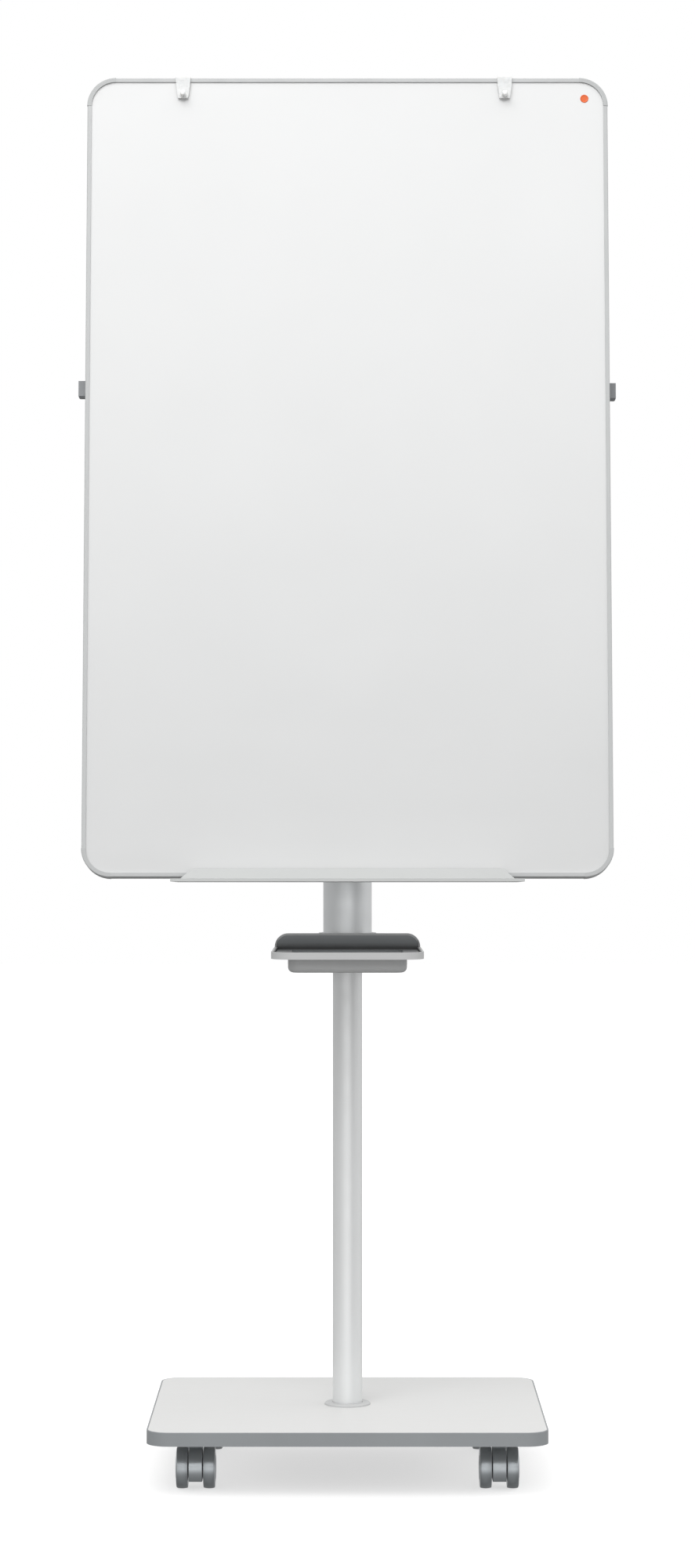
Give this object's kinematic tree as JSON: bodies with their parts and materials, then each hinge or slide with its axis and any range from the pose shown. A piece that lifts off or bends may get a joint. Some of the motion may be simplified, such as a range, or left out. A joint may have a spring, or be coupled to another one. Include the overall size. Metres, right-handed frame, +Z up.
{
  "type": "flipchart easel",
  "caption": "Flipchart easel: tilting framed writing board with pad hooks, pull-out arms and pen ledge, on a height-adjustable column with a tray, on a base plate with twin-wheel casters.",
  "frame": {"origin": "on the floor, at the middle of the object's bounding box, under the post's axis", "axes": "+Z up; the writing face looks towards -Y; +X is to the right of someone facing the board"},
  "size_m": [0.722, 0.45, 1.8826],
  "materials": {
    "white_laminate": "white melamine laminate on chipboard",
    "edge_band": "grey plastic edge band",
    "ballast_steel": "dark powder-coated steel plate",
    "screw_steel": "zinc-plated steel",
    "post_paint": "satin silver-grey powder coat",
    "column_paint": "satin silver-grey powder coat",
    "grey_plastic": "fine-textured light grey plastic",
    "liner_plastic": "smooth dark grey plastic liner",
    "dark_plastic": "fine-textured dark grey plastic",
    "collar_plastic": "moulded mid-grey plastic",
    "glide_plastic": "natural low-friction plastic",
    "cast_alloy": "painted die-cast alloy",
    "writing_surface": "gloss white lacquered steel",
    "core_board": "paper honeycomb core",
    "back_sheet": "thin grey coated sheet",
    "frame_alloy": "satin anodised extrusion",
    "corner_plastic": "moulded light grey plastic",
    "ledge_paint": "light grey powder coat",
    "arm_alloy": "brushed flat bar",
    "grip_plastic": "moulded mid-grey plastic",
    "hook_plastic": "translucent white plastic",
    "caster_plastic": "dark grey nylon",
    "wheel_plastic": "dark grey nylon with a soft tread",
    "pedal_plastic": "grey nylon"
  },
  "bodies": {
    "base": {"base_board": "white_laminate", "base_edge_band": "edge_band", "base_ballast_plate": "ballast_steel", "ballast_screws": "screw_steel", "lower_post": "post_paint", "post_foot_plug": "screw_steel", "post_bolt": "screw_steel", "post_flange_cover": "grey_plastic", "post_top_glide": "glide_plastic", "caster_sockets": "dark_plastic", "caster_stems": "screw_steel"},
    "column": {"upper_column": "column_paint", "column_top_cap": "dark_plastic", "column_collar": "collar_plastic", "column_head": "cast_alloy", "head_screws": "screw_steel", "tray_holder": "grey_plastic", "tray_insert": "liner_plastic", "tray_screws": "screw_steel"},
    "height_knob": {"height_knob": "dark_plastic", "height_knob_stud": "screw_steel"},
    "board": {"writing_sheet": "writing_surface", "board_core": "core_board", "board_back_sheet": "back_sheet", "frame_corners": "corner_plastic", "frame_rail_top": "frame_alloy", "frame_rail_bottom": "frame_alloy", "frame_rail_left": "frame_alloy", "frame_rail_right": "frame_alloy", "board_bracket": "column_paint", "board_screws": "screw_steel", "arm_guides": "dark_plastic", "pen_ledge": "ledge_paint", "tilt_bolt": "screw_steel"},
    "tilt_knob": {"tilt_knob": "dark_plastic"},
    "arm_left": {"arm_bar_left": "arm_alloy", "arm_grip_left": "grip_plastic"},
    "arm_right": {"arm_bar_right": "arm_alloy", "arm_grip_right": "grip_plastic"},
    "hook_left": {"pad_hook_left": "hook_plastic"},
    "hook_right": {"pad_hook_right": "hook_plastic"},
    "caster_front_left": {"caster_front_left_hood": "caster_plastic", "caster_front_left_axle": "screw_steel"},
    "caster_front_left_wheel_a": {"caster_front_left_wheel_a": "wheel_plastic"},
    "caster_front_left_wheel_b": {"caster_front_left_wheel_b": "wheel_plastic"},
    "caster_front_right": {"caster_front_right_hood": "caster_plastic", "caster_front_right_axle": "screw_steel"},
    "caster_front_right_wheel_a": {"caster_front_right_wheel_a": "wheel_plastic"},
    "caster_front_right_wheel_b": {"caster_front_right_wheel_b": "wheel_plastic"},
    "caster_rear_left": {"caster_rear_left_hood": "caster_plastic", "caster_rear_left_axle": "screw_steel"},
    "caster_rear_left_wheel_a": {"caster_rear_left_wheel_a": "wheel_plastic"},
    "caster_rear_left_wheel_b": {"caster_rear_left_wheel_b": "wheel_plastic"},
    "caster_rear_left_pedal": {"caster_rear_left_pedal": "pedal_plastic"},
    "caster_rear_right": {"caster_rear_right_hood": "caster_plastic", "caster_rear_right_axle": "screw_steel"},
    "caster_rear_right_wheel_a": {"caster_rear_right_wheel_a": "wheel_plastic"},
    "caster_rear_right_wheel_b": {"caster_rear_right_wheel_b": "wheel_plastic"},
    "caster_rear_right_pedal": {"caster_rear_right_pedal": "pedal_plastic"}
  },
  "joints": [
    {"name": "column_height", "type": "slide", "parent": "base", "child": "column", "axis": [0, 0, 1], "range_m": [-0.25, 0.1]},
    {"name": "height_knob_turn", "type": "hinge", "parent": "column", "child": "height_knob", "pos_m": [0, 0.0575, 0.69], "axis": [0, 1, 0], "range_deg": [0, 360]},
    {"name": "board_tilt", "type": "hinge", "parent": "column", "child": "board", "pos_m": [0, -0.062, 1.3], "axis": [-1, 0, 0], "range_deg": [-6.7, 8.3]},
    {"name": "tilt_knob_turn", "type": "hinge", "parent": "board", "child": "tilt_knob", "pos_m": [0.038, -0.062, 1.3], "axis": [1, 0, 0], "range_deg": [0, 360]},
    {"name": "arm_left_slide", "type": "slide", "parent": "board", "child": "arm_left", "axis": [-1, 0, 0], "range_m": [0, 0.45]},
    {"name": "arm_right_slide", "type": "slide", "parent": "board", "child": "arm_right", "axis": [1, 0, 0], "range_m": [0, 0.45]},
    {"name": "hook_left_slide", "type": "slide", "parent": "board", "child": "hook_left", "axis": [1, 0, 0], "range_m": [-0.07, 0.1]},
    {"name": "hook_right_slide", "type": "slide", "parent": "board", "child": "hook_right", "axis": [1, 0, 0], "range_m": [-0.1, 0.07]},
    {"name": "caster_front_left_swivel", "type": "hinge", "parent": "base", "child": "caster_front_left", "pos_m": [-0.2, -0.123, 0.06], "axis": [0, 0, 1], "continuous": true},
    {"name": "caster_front_left_wheel_a_roll", "type": "hinge", "parent": "caster_front_left", "child": "caster_front_left_wheel_a", "pos_m": [-0.2179, -0.143, 0.0275], "axis": [1, 0, 0], "continuous": true},
    {"name": "caster_front_left_wheel_b_roll", "type": "hinge", "parent": "caster_front_left", "child": "caster_front_left_wheel_b", "pos_m": [-0.1821, -0.143, 0.0275], "axis": [1, 0, 0], "continuous": true},
    {"name": "caster_front_right_swivel", "type": "hinge", "parent": "base", "child": "caster_front_right", "pos_m": [0.2, -0.123, 0.06], "axis": [0, 0, 1], "continuous": true},
    {"name": "caster_front_right_wheel_a_roll", "type": "hinge", "parent": "caster_front_right", "child": "caster_front_right_wheel_a", "pos_m": [0.1821, -0.143, 0.0275], "axis": [1, 0, 0], "continuous": true},
    {"name": "caster_front_right_wheel_b_roll", "type": "hinge", "parent": "caster_front_right", "child": "caster_front_right_wheel_b", "pos_m": [0.2179, -0.143, 0.0275], "axis": [1, 0, 0], "continuous": true},
    {"name": "caster_rear_left_swivel", "type": "hinge", "parent": "base", "child": "caster_rear_left", "pos_m": [-0.2, 0.123, 0.06], "axis": [0, 0, 1], "continuous": true},
    {"name": "caster_rear_left_wheel_a_roll", "type": "hinge", "parent": "caster_rear_left", "child": "caster_rear_left_wheel_a", "pos_m": [-0.2179, 0.143, 0.0275], "axis": [1, 0, 0], "continuous": true},
    {"name": "caster_rear_left_wheel_b_roll", "type": "hinge", "parent": "caster_rear_left", "child": "caster_rear_left_wheel_b", "pos_m": [-0.1821, 0.143, 0.0275], "axis": [1, 0, 0], "continuous": true},
    {"name": "caster_rear_left_pedal_press", "type": "hinge", "parent": "caster_rear_left", "child": "caster_rear_left_pedal", "pos_m": [-0.2, 0.15, 0.049], "axis": [-1, 0, 0], "range_deg": [0, 12]},
    {"name": "caster_rear_right_swivel", "type": "hinge", "parent": "base", "child": "caster_rear_right", "pos_m": [0.2, 0.123, 0.06], "axis": [0, 0, 1], "continuous": true},
    {"name": "caster_rear_right_wheel_a_roll", "type": "hinge", "parent": "caster_rear_right", "child": "caster_rear_right_wheel_a", "pos_m": [0.1821, 0.143, 0.0275], "axis": [1, 0, 0], "continuous": true},
    {"name": "caster_rear_right_wheel_b_roll", "type": "hinge", "parent": "caster_rear_right", "child": "caster_rear_right_wheel_b", "pos_m": [0.2179, 0.143, 0.0275], "axis": [1, 0, 0], "continuous": true},
    {"name": "caster_rear_right_pedal_press", "type": "hinge", "parent": "caster_rear_right", "child": "caster_rear_right_pedal", "pos_m": [0.2, 0.15, 0.049], "axis": [-1, 0, 0], "range_deg": [0, 12]}
  ]
}
